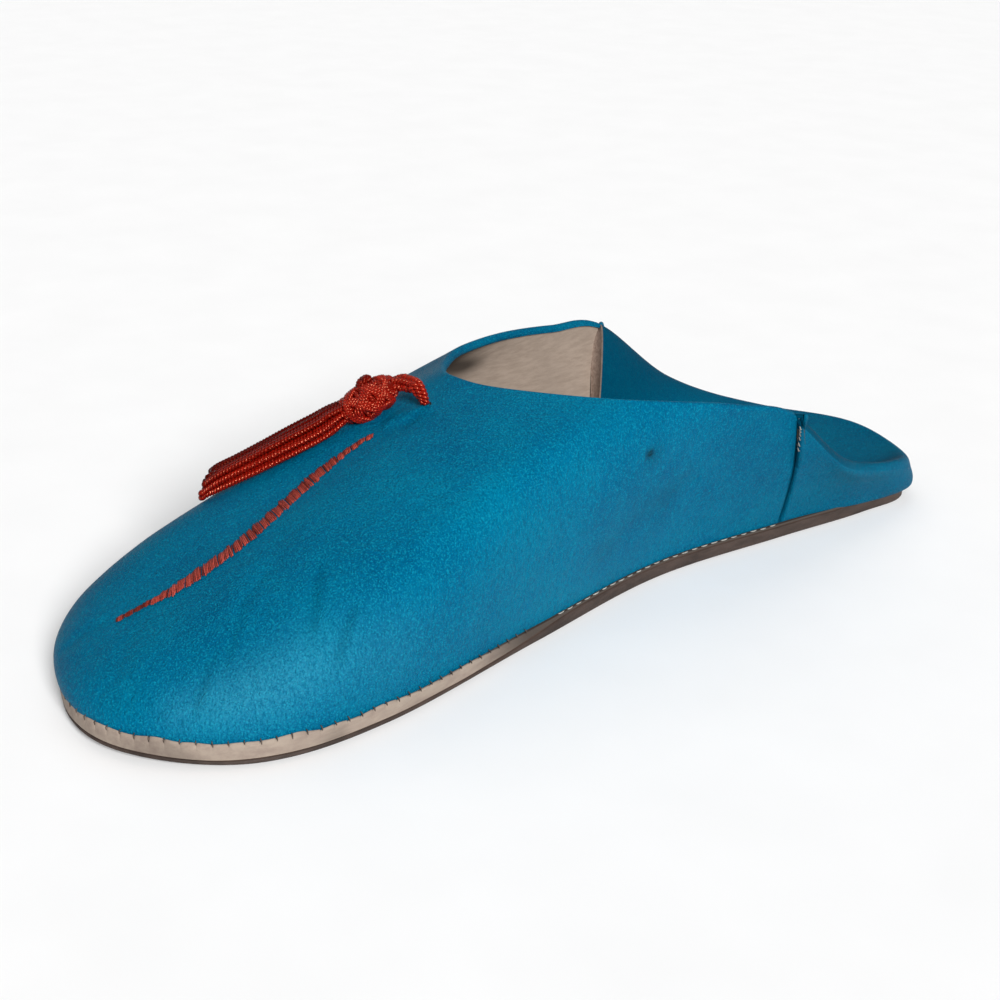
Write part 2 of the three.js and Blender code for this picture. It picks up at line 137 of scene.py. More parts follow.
def bell(x, width):
    return np.exp(-(x / width) ** 2)


UP = np.array([0.0, 0.0, 1.0])


# A table's rows blended smoothly at places s
def blend_rows(rows, s, loop):
    s = np.asarray(s, float)
    start = np.floor(s).astype(int)
    f = (s - start)[..., None]
    count = len(rows)

    def pick(k):
        index = start + k
        return rows[index % count] if loop else rows[np.clip(index, 0, count - 1)]

    a, b, c, d = pick(-1), pick(0), pick(1), pick(2)
    bend = 2 * a - 5 * b + 4 * c - d
    twist = 3 * b - a - 3 * c + d
    return 0.5 * (2 * b + (c - a) * f + bend * f ** 2 + twist * f ** 3)


# A place's share of the length, from the toe
def length_share(y):
    return (y + LENGTH / 2) / LENGTH


def toe_share(y):
    return np.maximum(0, 1 - (y + LENGTH / 2) / TOE_SPRING_LENGTH) ** 2


def sole_bottom(y):
    return TOE_SPRING * toe_share(y)


def sole_top(y):
    return SOLE_THICKNESS + TOE_RISE * toe_share(y)


def rand_joint(y):
    thinned = ease(length_share(y), THINS_FROM, THINS_TO)
    share = SHARE_FORE + (SHARE_REAR - SHARE_FORE) * thinned
    return sole_bottom(y) + (sole_top(y) - sole_bottom(y)) * share


def foot_point(s):
    row = blend_rows(RIBS, s, True)
    y = (row[..., 0] - 0.5) * LENGTH
    return np.stack([row[..., 1] * BALL_WIDTH, y, sole_top(y) + GAP], -1)


def outward(s):
    run = foot_point(s + 0.02) - foot_point(s - 0.02)
    return unit(np.stack([run[..., 1], -run[..., 0], 0 * run[..., 0]], -1))


def collar_point(s):
    row = blend_rows(RIBS, s, True)
    height = FLAP_HEIGHT + row[..., 4] * INSTEP_ROOM
    return np.stack([row[..., 3] * COLLAR_WIDTH, (row[..., 2] - 0.5) * LENGTH, height], -1)


# How much of the heel end's puff there is at s
def heel_share(s):
    return 1 - ease(np.abs(np.asarray(s, float) - HEEL_END), 0.6, 2)


def fold_radius_at(s):
    run = collar_point(s + 0.02) - collar_point(s - 0.02)
    steepness = norm(run) / np.hypot(run[..., 0], run[..., 1])
    return FOLD_RADIUS * steepness * (1 + (HEEL_PUFF - 1) * heel_share(s))


def fold_point(s, angle):
    radius = fold_radius_at(s)[..., None]
    reach = radius * (1 + HEEL_ROLL * heel_share(s)[..., None])
    turn = math.radians(angle)
    return (collar_point(s) + outward(s) * (FOLD_BULGE * radius + reach * (math.cos(turn) - 1))
            + UP * radius * (math.sin(turn) - 1))


def fold_share(s):
    s = np.asarray(s, float) % len(RIBS)
    away = np.minimum(abs(s - SEAM), abs(s - OUTER_SEAM))
    half, dip = SEAM_WIDTH / 2 / RIB_SPACING, DIP_WIDTH / 2 / RIB_SPACING
    share = 0.12 * (1 - ease(away, half, dip))
    return np.where((s >= SEAM) & (s <= OUTER_SEAM), 1.0, share)


# The four control points of each rib's curve
def rib_controls(s):
    s = np.asarray(s, float)
    row = blend_rows(RIBS, s, True)
    foot, out = foot_point(s), outward(s)
    share = fold_share(s)[..., None]
    collar = collar_point(s) * (1 - share) + fold_point(s, 0) * share
    height = (collar[..., 2] - foot[..., 2])[..., None]
    low = foot + out * row[..., 5:6] * BULGE + UP * row[..., 6:7] * height
    level = (foot - collar) * [1, 1, 0]
    high = collar + level * row[..., 7:8] + out * row[..., 8:9] * BULGE
    high = high - UP * row[..., 9:10] * height
    return np.stack([foot, low, high, collar], -2)


def flap_controls(s, crest):
    row = blend_rows(FLAP, s - SEAM, False)
    out = outward(s)
    reach = np.sqrt(2 / 3 * (crest[..., 2] - FLAP_HEIGHT) * fold_radius_at(s))
    end = np.stack([row[..., 0] * BALL_WIDTH, (row[..., 1] - 0.5) * LENGTH,
                    0 * s + FLAP_HEIGHT], -1)
    bend = crest - out * reach[..., None]
    bend[..., 1] = crest[..., 1] + (end[..., 1] - crest[..., 1]) * 0.5 * row[..., 3]
    inset = 2 * WALL + 2 * GAP + row[..., 2:3] * FLAP_ROOM
    corner = foot_point(s) - out * inset
    corner = corner + (end - corner) * row[..., 3:4]
    corner[..., 2] = FLAP_HEIGHT + row[..., 4] * FLAP_LOFT
    return np.stack([crest, bend, corner, end], -2)


def bezier(controls, share):
    a, b, c, d = (controls[..., k, :] for k in range(4))
    t = np.asarray(share)[..., None]
    return a * (1 - t) ** 3 + 3 * b * t * (1 - t) ** 2 + 3 * c * t ** 2 * (1 - t) + d * t ** 3


# Points and outward normals on the upper's outer face, for places s and climbs v
def on_upper(s, v):
    s, v = np.asarray(s, float), np.asarray(v, float)
    point = bezier(rib_controls(s), v)
    along = bezier(rib_controls(s + 0.02), v) - bezier(rib_controls(s - 0.02), v)
    rising = bezier(rib_controls(s), v + 0.01) - bezier(rib_controls(s), v - 0.01)
    return point, unit(np.cross(along, rising))


# The shift that puts the outsole's outline where it is in the frame
def frame_shift():
    s = np.arange(len(RIBS) * 4) / 4
    edge = foot_point(s) + outward(s) * SOLE_PROUD
    low, high = (np.array(corner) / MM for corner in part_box("outsole"))
    shift = (low + high) / 2 - (edge.min(0) + edge.max(0)) / 2
    return np.array([shift[0], shift[1], 0.0])


SHIFT = frame_shift()


def add_object(name, data):
    thing = bpy.data.objects.new(name, data)
    bpy.context.scene.collection.objects.link(thing)
    return thing


# Meshes from points in millimetres and lists of faces
def make_mesh(name, points, faces, materials, face_material=None, sharp=0):
    mesh = bpy.data.meshes.new(name)
    points = (np.asarray(points) + SHIFT) * MM
    mesh.from_pydata(points.tolist(), [], [tuple(map(int, f)) for f in faces])
    for material in materials:
        mesh.materials.append(material)
    if face_material is not None:
        mesh.polygons.foreach_set("material_index", np.asarray(face_material, np.int32))
    mesh.polygons.foreach_set("use_smooth", np.ones(len(mesh.polygons), bool))
    if sharp:
        mesh.set_sharp_from_angle(angle=math.radians(sharp))
    mesh.update()
    return add_object(name, mesh)


def vertex_normals(points, faces):
    quads = np.asarray(faces)
    a, b, c, d = (points[quads[:, k]] for k in range(4))
    face_normal = np.cross(c - a, d - b)
    normals = np.zeros_like(points)
    for k in range(4):
        np.add.at(normals, quads[:, k], face_normal)
    return unit(normals)


# Faces between rings of points, with lids on the first and last ring
def ring_faces(rings, sides):
    index = np.arange(rings * sides).reshape(rings, sides)
    beside = np.roll(index, -1, axis=1)
    faces = np.stack([index[:-1], beside[:-1], beside[1:], index[1:]], -1)
    return faces.reshape(-1, 4).tolist() + [index[0][::-1].tolist(), index[-1].tolist()]


def circle(sides):
    return np.arange(sides) * 2 * math.pi / sides


# Points moved along directions, each by its own amounts
def moved(points, *moves):
    for way, amount in moves:
        points = points + way * np.asarray(amount)[..., None]
    return points


# A rise from a to b and a fall from c to d
def window(x, a, b, c, d):
    return ease(x, a, b) * (1 - ease(x, c, d))


# The length run along a path at each of its points
def running_length(path):
    return np.concatenate([[0], np.cumsum(norm(np.diff(path, axis=0)))])


# Smooth bumps of noise with a wavelength in millimetres, from -1 to 1
def wobble(points, wavelength, seed):
    offset = Vector((seed * 17.3, seed * 5.1, seed * 9.7))
    return np.array([noise.noise(Vector(p) / wavelength + offset) for p in points])


# Camera, at the angle and distance of the photo
AZIMUTH, ELEVATION, DISTANCE, ROLL = 52.05, 24.21, 522.2, 1.40
TARGET = np.array([-74.14, 47.86, -20.57])
FOCAL_PIXELS = 1587.77


# The direction towards an azimuth, counted from the toe's side, and an elevation
def direction(azimuth, elevation):
    level = math.cos(elevation)
    return np.array([math.sin(azimuth) * level, -math.cos(azimuth) * level, math.sin(elevation)])


def add_camera():
    azimuth, elevation, roll = (math.radians(x) for x in (AZIMUTH, ELEVATION, ROLL))
    back = direction(azimuth, elevation)
    right = np.array([math.cos(azimuth), math.sin(azimuth), 0])
    up = np.cross(back, right)
    data = bpy.data.cameras.new("camera")
    data.sensor_width = 36
    data.lens = 36 * FOCAL_PIXELS / 1000
    data.clip_start, data.clip_end = 0.01, 20
    matrix = np.eye(4)
    matrix[:3, 0] = right * math.cos(roll) + up * math.sin(roll)
    matrix[:3, 1] = up * math.cos(roll) - right * math.sin(roll)
    matrix[:3, 2] = back
    matrix[:3, 3] = (TARGET + SHIFT + back * DISTANCE) * MM
    camera = add_object("camera", data)
    camera.matrix_world = Matrix(matrix.tolist())
    bpy.context.scene.camera = camera


add_camera()


# A material built from nodes. Sockets are fed with numbers, colours or other nodes' outputs.
class Shading:
    def __init__(self, name):
        self.material = bpy.data.materials.new(name)
        self.material.use_nodes = True
        self.place = self.add("TexCoord", {}).outputs["Object"]

    def add(self, kind, sockets):
        node = self.material.node_tree.nodes.new("ShaderNode" + kind)
        for name, value in sockets.items():
            self.feed(node.inputs[name], value)
        return node

    def feed(self, socket, value):
        if isinstance(value, bpy.types.NodeSocket):
            self.material.node_tree.links.new(value, socket)
        elif socket.type == "RGBA":
            socket.default_value = (*value, 1)
        else:
            socket.default_value = value

    def finish(self, sockets):
        shader = self.material.node_tree.nodes["Principled BSDF"]
        for name, value in sockets.items():
            self.feed(shader.inputs[name], value)
        return self.material

    def attribute(self, name):
        node = self.add("Attribute", {})
        node.attribute_name = name
        return node.outputs["Fac"]

    def stretched(self, size, turn=(0, 0, 0)):
        return self.add("Mapping", {"Vector": self.place, "Scale": size,
                                    "Rotation": turn}).outputs["Vector"]

    def noise(self, scale, detail=3.0, roughness=0.55, place=None):
        place = self.place if place is None else place
        return self.add("TexNoise", {"Vector": place, "Scale": scale, "Detail": detail,
                                     "Roughness": roughness}).outputs["Fac"]

    def cell_edges(self, scale):
        node = self.add("TexVoronoi", {"Vector": self.place, "Scale": scale})
        node.feature = "DISTANCE_TO_EDGE"
        return node.outputs["Distance"]

    def maths(self, operation, *values):
        node = self.add("Math", dict(enumerate(values)))
        node.operation = operation
        return node

    def remap(self, value, low, high, to_low, to_high):
        return self.add("MapRange", {"Value": value, "From Min": low, "From Max": high,
                                     "To Min": to_low, "To Max": to_high}).outputs["Result"]

    def ramp(self, value, stops):
        node = self.add("ValToRGB", {"Fac": value})
        elements = node.color_ramp.elements
        while len(elements) < len(stops):
            elements.new(0.5)
        for element, (position, color) in zip(elements, stops):
            element.position = position
            element.color = (*color, 1)
        return node.outputs["Color"]

    def mix(self, share, below, above):
        node = self.add("Mix", {})
        node.data_type = "RGBA"
        for index, value in ((0, share), (6, below), (7, above)):
            self.feed(node.inputs[index], value)
        return node.outputs[2]

    # Height, distance in millimetres and strength of each layer of bumps
    def bump(self, layers):
        normal = None
        for height, distance, strength in layers:
            node = self.add("Bump", {"Height": height, "Distance": distance * MM,
                                     "Strength": strength})
            if normal is not None:
                self.feed(node.inputs["Normal"], normal)
            normal = node.outputs["Normal"]
        return normal


def dimmed(color, share):
    return tuple(share * x for x in color)


# Turquoise full-grain leather: mottled dye and fine pebbles, with painted shade where tone is high,
# a stain with painted crease shade, and painted sheen
def blue_leather():
    shade = Shading("blue_leather")
    patches = shade.noise(42, 2.0)
    cloud = shade.noise(170, 4.0, 0.6)
    fine = shade.noise(2300, 2.0, 0.6)
    wrinkles = shade.noise(380, 4.0, 0.6, shade.stretched((1, 1, 0.45)))
    streaks = shade.noise(1900, 3.0, 0.6, shade.stretched((1, 1, 0.4), (0.5, 0.9, 0)))
    pits = shade.remap(shade.cell_edges(1500), 0.0, 0.12, 0, 1)
    # Painted sheen: a lighter colour where the key light's highlight lies, speckled by the streaks
    sheen_mask = shade.maths("MULTIPLY", shade.attribute("painted_sheen"),
                         shade.remap(streaks, 0.40, 0.60, 0.45, 1.1))
    sheen_mask.use_clamp = True
    color = shade.ramp(patches, [(0.30, (0.000, 0.078, 0.172)), (0.50, (0.000, 0.104, 0.208)),
                                 (0.68, (0.000, 0.132, 0.235))])
    for share, dye in (
        (shade.remap(cloud, 0.35, 0.7, 0, 0.55), (0.000, 0.104, 0.195)),
        (shade.remap(fine, 0.49, 0.64, 0, 0.88), (0.003, 0.190, 0.290)),
        (shade.remap(streaks, 0.50, 0.38, 0, 0.55), (0.000, 0.066, 0.140)),
        (sheen_mask.outputs[0], (0.030, 0.235, 0.345)),
        # Painted shade from tone, then a stain with painted shade along the wide crease
        (shade.attribute("tone"), (0.000, 0.034, 0.066)),
        (shade.attribute("stain_and_crease_shade"), (0.004, 0.012, 0.016)),
    ):
        color = shade.mix(share, color, dye)
    matt = shade.maths("MULTIPLY_ADD", shade.attribute("tone"), 0.22,
                       shade.remap(fine, 0.3, 0.7, 0.34, 0.50))
    return shade.finish({
        "Base Color": color,
        "Roughness": matt.outputs[0],
        "Normal": shade.bump([(wrinkles, 0.60, 0.9), (streaks, 0.22, 0.9), (pits, 0.10, 0.8),
                              (fine, 0.15, 0.9)]),
        "Specular IOR Level": 0.04,
        "Specular Tint": (0.0, 0.7, 1.0),
    })


# Pale undyed leather with a fine streaky grain
def pale_leather(name, light, dark, grain, rough):
    shade = Shading(name)
    streaks = shade.noise(grain, 5.0, 0.65, shade.stretched((1, 0.22, 1), (0.5, 0.3, 0.6)))
    patches = shade.remap(shade.noise(90), 0.35, 0.7, 0, 0.4)
    fine = shade.noise(2200, 2.0)
    color = shade.ramp(streaks, [(0.34, dark), (0.62, light)])
    color = shade.mix(patches, color, dimmed(light, 0.72))
    return shade.finish({
        # Tone darkens it: painted shade on the lining, uneven colour on the sole pieces and a
        # darker rear on the rand
        "Base Color": shade.mix(shade.attribute("tone"), color, dimmed(dark, 0.22)),
        "Roughness": shade.remap(fine, 0.3, 0.7, rough - 0.08, rough + 0.08),
        "Normal": shade.bump([(streaks, 0.12, 0.5), (fine, 0.05, 0.5)]),
        "Specular IOR Level": 0.2,
    })


# Thread and cord with fine fibres; a high tone darkens them and damps their gloss: painted shade on
# the tassel, random variation on the stitches
def thread_material(name, light, dark, rough, gloss, tint=(1, 1, 1)):
    shade = Shading(name)
    fibre = shade.noise(2600, 3.0, 0.6)
    tone = shade.attribute("tone")
    color = shade.ramp(fibre, [(0.35, dark), (0.62, light)])
    return shade.finish({
        "Base Color": shade.mix(tone, color, dimmed(light, 0.16)),
        "Roughness": shade.remap(fibre, 0.3, 0.7, rough - 0.06, rough + 0.1),
        "Normal": shade.bump([(fibre, 0.06, 0.6)]),
        "Specular IOR Level": shade.remap(tone, 0.0, 0.8, gloss, 0.12 * gloss),
        "Specular Tint": tint,
    })


BLUE = blue_leather()
LINING = pale_leather("lining_leather", (0.280, 0.222, 0.178), (0.225, 0.175, 0.138), 900, 0.9)
CUT_EDGE = pale_leather("cut_edge", (0.52, 0.40, 0.33), (0.30, 0.21, 0.17), 1100, 0.9)
RAND = pale_leather("rand_leather", (0.29, 0.235, 0.19), (0.22, 0.17, 0.14), 500, 0.7)
PALE_EDGE = pale_leather("pale_edge", (0.40, 0.35, 0.30), (0.30, 0.26, 0.22), 900, 0.85)
SOLE_EDGE = pale_leather("sole_edge", (0.056, 0.038, 0.031), (0.030, 0.021, 0.017), 520, 0.65)
SOLE_BASE = pale_leather("sole_base", (0.085, 0.055, 0.042), (0.045, 0.028, 0.021), 160, 0.72)
CORD = thread_material("red_cord", (0.30, 0.006, 0.002), (0.09, 0.002, 0.001), 0.20, 1.0,
                       (1.0, 0.36, 0.20))
SILK = thread_material("coral_silk", (0.50, 0.070, 0.045), (0.20, 0.016, 0.014), 0.36, 0.7,
                       (1.0, 0.6, 0.5))
DARK_THREAD = thread_material("dark_thread", (0.10, 0.075, 0.06), (0.04, 0.03, 0.024), 0.7, 0.2)
PALE_THREAD = thread_material("pale_thread", (0.40, 0.40, 0.37), (0.24, 0.23, 0.20), 0.6, 0.2)


# A value per vertex that the materials read
def set_tone(piece, values, name="tone"):
    layer = piece.data.attributes.new(name, "FLOAT", "POINT")
    layer.data.foreach_set("value", np.clip(np.asarray(values, np.float32), 0, 1))


# Two directions square to a path at each point, and tubes along it
def frames_along(path, hint):
    forward = unit(np.gradient(path, axis=0))
    side = unit(np.cross(forward, hint))
    return side, np.cross(side, forward)


def tube(path, radius, sides=7, hint=(0.13, 0.27, 1.0)):
    radius = np.broadcast_to(np.asarray(radius, float), len(path))
    side, lift = frames_along(path, np.asarray(hint))
    turn = circle(sides)
    ring = moved(0, (side[:, None], np.cos(turn)), (lift[:, None], np.sin(turn)))
    points = path[:, None] + ring * radius[:, None, None]
    return points.reshape(-1, 3), ring_faces(len(path), sides)


# Many small shapes gathered into one piece
class Bundle:
    def __init__(self):
        self.points, self.faces, self.tone, self.count = [], [], [], 0

    def add(self, points, faces, tone):
        self.points.append(points)
        self.faces.extend([[i + self.count for i in face] for face in faces])
        self.tone.append(np.full(len(points), float(tone)))
        self.count += len(points)

    def make(self, name, material):
        piece = make_mesh(name, np.vstack(self.points), self.faces, [material])
        set_tone(piece, np.concatenate(self.tone))
        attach(piece, "root")
        return piece


def resample(path, step):
    length = running_length(path)
    count = max(2, int(round(length[-1] / step)) + 1)
    wanted = np.linspace(0, length[-1], count)
    return np.stack([np.interp(wanted, length, path[:, k]) for k in range(3)], -1)


# A cord: two plies twisted round a path, with a taper from its start to its end
PLIES = 2
STEPS_PER_TWIST = 9
PLY_SIDES = 6


def twisted(bundle, path, ply, pitch, phase, tone, taper=(1, 1)):
    path = resample(path, pitch / STEPS_PER_TWIST)
    length = running_length(path)
    side, lift = frames_along(path, np.array([0.31, 0.17, 1.0]))
    size = np.interp(length / length[-1], np.linspace(0, 1, len(taper)), taper)
    for k in range(PLIES):
        turn = phase + 2 * math.pi * (length / pitch + k / PLIES)
        out = moved(0, (side, np.cos(turn)), (lift, np.sin(turn)))
        strand = moved(path, (out, 0.9 * ply * size))
        bundle.add(*tube(strand, ply * size, PLY_SIDES), tone)


# Places along the foot line, a given distance apart
def foot_places(start, stop, pitch):
    s = np.linspace(start, stop, 2400)
    length = running_length(foot_point(s))
    return np.interp(np.arange(pitch / 2, length[-1], pitch), length, s)


# Creases and dents of the leather: rows of place and climb, then half width and depth.
# A negative depth is a soft ridge.
CREASES = [
    ([(1.50, 0.56), (1.75, 0.47), (2.08, 0.33)], 1.2, 0.60),
    ([(2.20, 0.43), (2.34, 0.34), (2.50, 0.20)], 1.3, 0.60),
    ([(1.28, 0.33), (1.40, 0.24), (1.50, 0.13)], 1.0, 0.45),
    ([(1.05, 0.50), (1.28, 0.40), (1.55, 0.26)], 1.0, 0.35),
    ([(0.60, 0.62), (0.95, 0.55), (1.25, 0.45)], 3.5, 0.40),
    ([(5.05, 0.60), (4.78, 0.43), (4.40, 0.22)], 5.0, 0.60),
    ([(0.20, 0.34), (0.45, 0.26), (0.70, 0.14)], 2.0, 0.30),
    ([(-0.15, 0.33), (-0.30, 0.25), (-0.40, 0.14)], 2.0, 0.30),
    ([(0.02, 0.835), (0.12, 0.880), (0.45, 0.915)], 2.4, -0.8),
    ([(-0.02, 0.865), (0.22, 0.872), (0.60, 0.885)], 2.6, 0.8),
]


def crease_depth(points, rows, width, depth):
    stops = np.linspace(0, len(rows) - 1, 40)
    s, v = (np.interp(stops, range(len(rows)), column) for column in zip(*rows))
    line, _ = on_upper(s, v)
    distance = norm(points[:, None] - line)
    place = distance.argmin(1) / (len(line) - 1)
    return depth * (0.15 + 0.85 * window(place, 0, 0.25, 0.75, 1)) * bell(distance.min(1), width)


# The upper: one sheet with rows up each rib, the flap folded in at the heel, and a wall.
# The steps of the rim are distances from the collar's edge.
RIM_STEPS = [1.95, 1.8, 1.6, 1.35, 1.1, 0.75, 0.42, 0.18, 0.05, 0.0]
FOLD_ANGLES = range(9, 91, 9)
FLAP_STEPS = np.linspace(0, 1, 27)[1:]
WALL_ROWS = 62
PER_RIB = 32
FLAP_CLIMB = 1.2


def upper_places():
    steps = np.array([-0.85, -0.5, -0.22, 0.22, 0.5, 0.85]) / RIB_SPACING
    places = np.arange(len(RIBS) * PER_RIB) / PER_RIB
    places = np.sort(np.concatenate([places, *(seam + steps for seam in SEAMS)]))
    kept = [places[0]]
    for place in places[1:]:
        if place - kept[-1] > 0.12 / RIB_SPACING:
            kept.append(place)
    return np.array(kept)


# The sheet's points and quads, with each point's place round the foot, climb up the wall and
# way along the flap
class Sheet:
    def __init__(self):
        s = upper_places()
        folded = (s >= SEAM) & (s <= OUTER_SEAM)
        shares, grid = self.rows_up_ribs(s)
        rows, self.wall_rows = grid.shape[1], shares.shape[1]
        used = np.ones(grid.shape[:2], bool)
        used[~folded, self.wall_rows:] = False
        index = -np.ones(used.shape, int)
        index[used] = np.arange(used.sum())
        both = used & np.roll(used, -1, axis=0)
        i, row = np.nonzero(both[:, :-1] & both[:, 1:])
        j = (i + 1) % len(s)
        self.faces = np.stack([index[i, row], index[j, row], index[j, row + 1],
                               index[i, row + 1]], 1)
        self.face_row, self.face_place, self.face_folded = row, s[i], folded[i]
        self.points = grid[used]
        self.normals = vertex_normals(self.points, self.faces)
        column, self.row = np.nonzero(used)
        self.place, self.folded = s[column], folded[column]
        self.heel = heel_share(self.place)
        self.on_flap = self.row >= self.wall_rows
        self.on_wall = ~self.on_flap
        self.on_foot = self.row == 0
        self.on_end = self.row == rows - 1
        self.near_rim = ~self.folded & (self.row >= WALL_ROWS - 1)
        on_wall_row = np.minimum(self.row, self.wall_rows - 1)
        self.climb = np.where(self.on_wall, shares[column, on_wall_row], FLAP_CLIMB)
        self.along_flap = np.maximum(self.row - self.wall_rows, 0) / (rows - 1 - self.wall_rows)

    def rows_up_ribs(self, s):
        controls = rib_controls(s)
        last = 3 * norm(controls[:, 3] - controls[:, 2])
        top = 1 - RIM_STEPS[0] / last
        shares = np.linspace(0, 1, WALL_ROWS)[None, :] * top[:, None]
        rim = 1 - np.array(RIM_STEPS[1:])[None, :] / last[:, None]
        shares = np.concatenate([shares, rim], 1)
        wall = bezier(controls[:, None], shares)
        fold = np.stack([fold_point(s, angle) for angle in FOLD_ANGLES], 1)
        flap = bezier(flap_controls(s, fold[:, -1])[:, None], FLAP_STEPS[None, :])
        return shares, np.concatenate([wall, fold, flap], 1)

    def from_seam(self, seam):
        return abs(self.place - seam) * RIB_SPACING


# Points drawn towards the mean of their neighbours, each by its share
def soften(points, faces, share, rounds):
    pairs = np.vstack([faces[:, [k, (k + 1) % 4]] for k in range(4)])
    pairs = np.vstack([pairs, pairs[:, ::-1]])
    count = np.bincount(pairs[:, 0], minlength=len(points))[:, None]
    for _ in range(rounds):
        mean = np.stack([np.bincount(pairs[:, 0], points[pairs[:, 1], axis], len(points))
                         for axis in range(3)], -1) / count
        points = points + (mean - points) * 0.5 * share[:, None]
    return points


# How far creases, soft unevenness and the seams' grooves move each point outwards
def leather_relief(sheet):
    points, climb = sheet.points, sheet.climb
    relief = np.zeros(len(points))
    for rows, width, depth in CREASES:
        relief -= crease_depth(points, rows, width, depth)
    uneven = 0.28 * wobble(points, 26, 1) + 0.12 * wobble(points, 9, 2)
    relief += window(climb, 0.0, 0.12, 0.93, 1.0) * uneven
    relief[sheet.on_flap] += 0.35 * wobble(points[sheet.on_flap], 22, 3)
    for seam in SEAMS:
        away = sheet.from_seam(seam)
        groove = bell(away, 0.55) * sheet.on_wall * ease(climb, 0.0, 0.05)
        puff = bell(away - 1.6, 1.0) * (climb < 0.97)
        relief += -0.75 * groove + 0.18 * puff
    relief[sheet.on_foot] = 0
    return relief


# The trodden heel sags over the sole, its near corner stands up while its far one lies lower,
# and its fold is filled and smooth
def trodden(sheet, outer):
    place, climb, along, heel = sheet.place, sheet.climb, sheet.along_flap, sheet.heel
    out = outward(place)
    sag = window(place, 6.1, 7.3, 10.4, 11.6) * (1 - ease(climb, 0.0, 0.6))
    outer = outer + (out * (0.75 + 0.25 * heel[:, None]) - UP * SAG) * sag[:, None]
    twist = bell(place - 7.6, 0.85) - 0.7 * bell(place - 10.2, 0.8)
    twist *= ease(climb, 0.0, 0.9) * (1 - ease(along, 0.0, 0.65))
    filled = heel * bell(along - 0.16, 0.13) * sheet.on_flap
    outer[:, 2] += HEEL_TWIST * twist + FOLD_FILLING * filled
    at_crest = heel * bell(along, 0.12) * sheet.on_flap
    flattened = heel * bell(climb - 0.65, 0.42) * sheet.on_wall
    outer -= out * (HEEL_FLATTENING * (flattened + at_crest))[:, None]
    share = heel * ease(climb, 0.12, 0.35)
    return soften(outer, sheet.faces, share, SMOOTHING_ROUNDS)


# Both faces of the wall, thicker at the turned edge and with a round rim. The flap is thin at
# the near seam and fills the gap to the lining at the far one.
def wall_faces(sheet, outer):
    to_rim = np.full(len(outer), 99.0)
    to_rim[sheet.near_rim] = np.array(RIM_STEPS)[sheet.row[sheet.near_rim] - (WALL_ROWS - 1)]
    thick = np.where(to_rim < TURNED_EDGE, TURNED_THICKNESS, WALL)
    near_fold = sheet.folded * ease(sheet.climb, 0.7, 0.95)
    pinched = near_fold * np.exp(-sheet.from_seam(SEAM) / 9)
    padded = near_fold * np.exp(-sheet.from_seam(OUTER_SEAM) / 6)
    padded *= sheet.on_flap * ease(sheet.along_flap, 0.04, 0.30)
    thick = thick * (1 - 0.65 * pinched + 1.6 * padded)
    half = TURNED_THICKNESS / 2
    sunk = np.where(to_rim < half, half - np.sqrt(np.maximum(
        half ** 2 - (half - np.minimum(to_rim, half)) ** 2, 0)), 0)
    inner = outer - sheet.normals * (thick - sunk)[:, None]
    outer = outer - sheet.normals * sunk[:, None]
    foot = sheet.on_foot
    inner[foot] = sheet.points[foot] - outward(sheet.place[foot]) * WALL
    inner[foot, 2] = sheet.points[foot, 2]
    return outer, inner


# Quads of both faces and of all open edges, with the number of each one's material
DYED, LINED, CUT, PALE = range(4)


def closed_wall(sheet):
    count = len(sheet.points)
    quads = sheet.faces.tolist()
    faces = quads + (sheet.faces[:, ::-1] + count).tolist()
    row, on_side = sheet.face_row, ~sheet.face_folded
    turned = on_side & (row >= WALL_ROWS) & (row < sheet.wall_rows)
    step = on_side & (row == WALL_ROWS - 1)
    from_near = (sheet.face_place - SEAM) * RIB_SPACING
    tucked_in = (from_near >= 0) & (from_near < 16) & (row >= sheet.wall_rows - 8)
    from_far = (OUTER_SEAM - sheet.face_place) * RIB_SPACING
    frayed = (from_far > 0) & (from_far < 0.9) & (row > sheet.wall_rows + 5)
    kinds = np.where(frayed, CUT, DYED).tolist()
    kinds += np.where(turned | tucked_in, DYED, np.where(step, PALE, LINED)).tolist()
    edges = dict.fromkeys((a, b) for quad in quads for a, b in zip(quad, quad[1:] + quad[:1]))
    for a, b in edges:
        if (b, a) in edges:
            continue
        faces.append([b, a, a + count, b + count])
        if sheet.on_flap[a] or sheet.on_flap[b]:
            at_end = sheet.on_end[a] and sheet.on_end[b]
            kinds.append(CUT if at_end or sheet.place[a] > HEEL_END else DYED)
        else:
            kinds.append(LINED if sheet.on_foot[a] and sheet.on_foot[b] else DYED)
    return faces, kinds


# Painted shade, mixed in as a darker dye: on the flap, at the foot line, in narrow creases, on the
# far side of the toe, towards the heel and along the seams. On the flap it is partly painted shade
# and partly leather dulled by treading.
def outer_painted_shade(sheet):
    points, climb = sheet.points, sheet.climb
    tone = sheet.on_flap * (0.30 + 0.50 * ease(points[:, 2], 6, 30))
    # Painted shade where the upper meets the rand
    tone += 0.22 * np.exp(-climb / 0.02)
    # Painted shade in the narrow creases
    for rows, width, depth in CREASES:
        tone += 0.5 * (width < 2) * depth * crease_depth(points, rows, width, 1.0)
    # Painted shade on the far side of the toe and towards the heel, where the key light falls off
    tone += 0.20 * ease(-points[:, 0], 0, 30) * (points[:, 1] < 10)
    tone += 0.38 * ease(points[:, 1], 15, 95) * sheet.on_wall
    # Painted shade in the seams' grooves, and at the flap's front edge by the near seam
    for seam in SEAMS:
        away = sheet.from_seam(seam)
        tone += 0.75 * bell(away, 0.6) * sheet.on_wall
        tone += 0.25 * bell(away, 2.5) * (climb > 0.6) * sheet.on_wall
        tone += 0.9 * bell(away, 1.1) * (climb > 0.99) * (seam == SEAM)
    return tone


